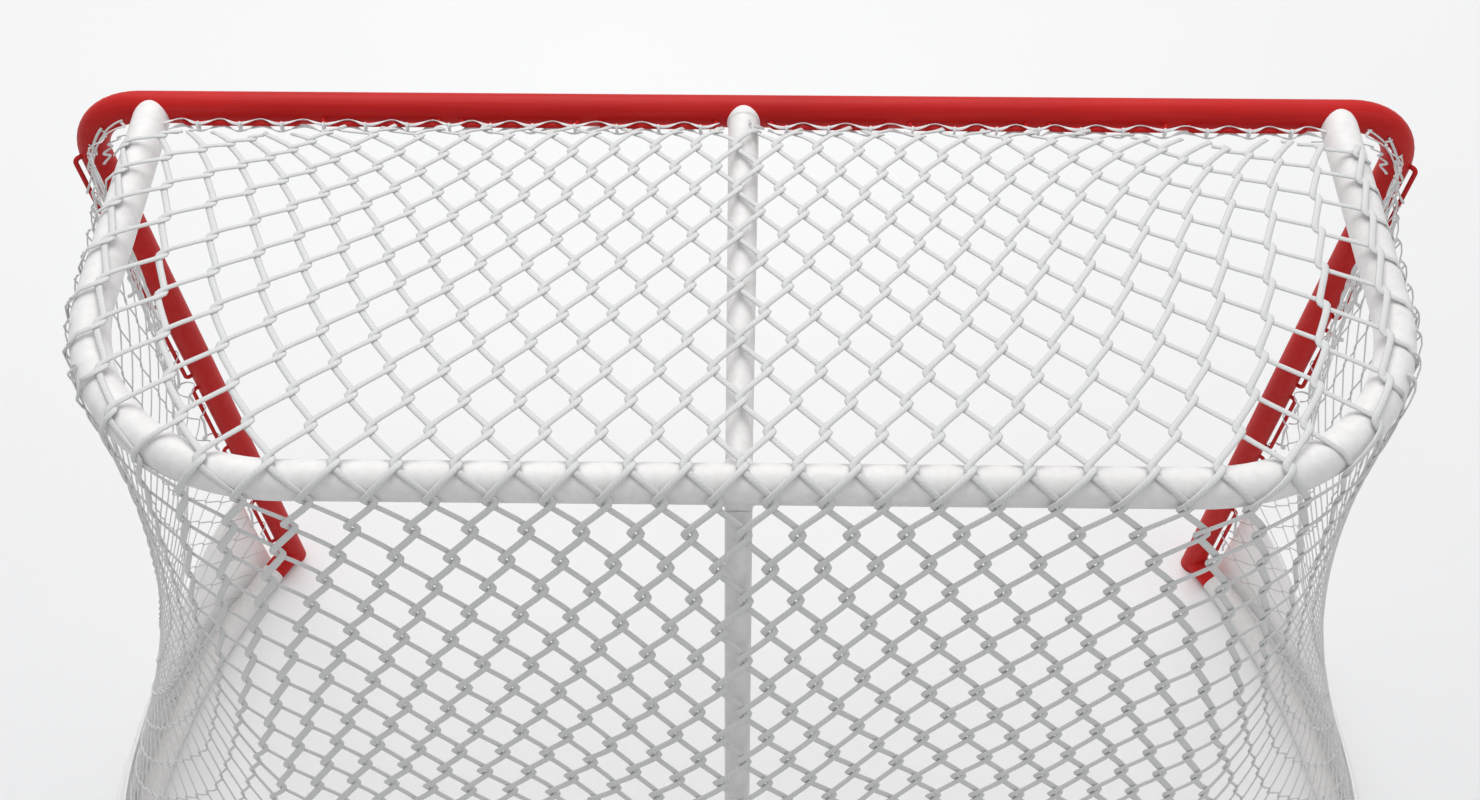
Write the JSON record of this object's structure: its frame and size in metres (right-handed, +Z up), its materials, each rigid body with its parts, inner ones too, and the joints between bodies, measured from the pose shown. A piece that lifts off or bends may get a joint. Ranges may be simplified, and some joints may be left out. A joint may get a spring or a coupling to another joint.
{
  "type": "ice hockey goal",
  "caption": "Ice hockey goal: a welded tube frame with an open mouth, laced netting over its top, sides and back, and a fabric skirt round its foot.",
  "frame": {"origin": "centre of the footprint, on the ice", "axes": "+X along the crossbar, towards the post on the right of a player who looks out of the net; +Y from the mouth to the back; +Z up"},
  "size_m": [2.3388, 1.2102, 1.2761],
  "materials": {
    "red_paint": "glossy red paint on steel tube",
    "white_paint": "glossy white paint on steel tube",
    "bare_steel": "machined steel sleeve",
    "net_cord": "white twisted netting cord",
    "skirt_fabric": "white woven skirt fabric",
    "lacing_cord": "white lacing cord"
  },
  "bodies": {
    "root": {"front_frame": "red_paint", "left_foot_stub": "red_paint", "right_foot_stub": "red_paint", "left_peg_socket": "bare_steel", "right_peg_socket": "bare_steel", "crossbar_lacing_rods": "red_paint", "left_post_lacing_rods": "red_paint", "right_post_lacing_rods": "red_paint", "top_frame": "white_paint", "centre_top_tube": "white_paint", "rear_centre_post": "white_paint", "base_frame": "white_paint", "top_net": "net_cord", "left_side_net": "net_cord", "rear_net": "net_cord", "right_side_net": "net_cord", "skirt": "skirt_fabric", "crossbar_lacing": "lacing_cord", "left_post_lacing": "lacing_cord", "right_post_lacing": "lacing_cord"}
  },
  "joints": []
}
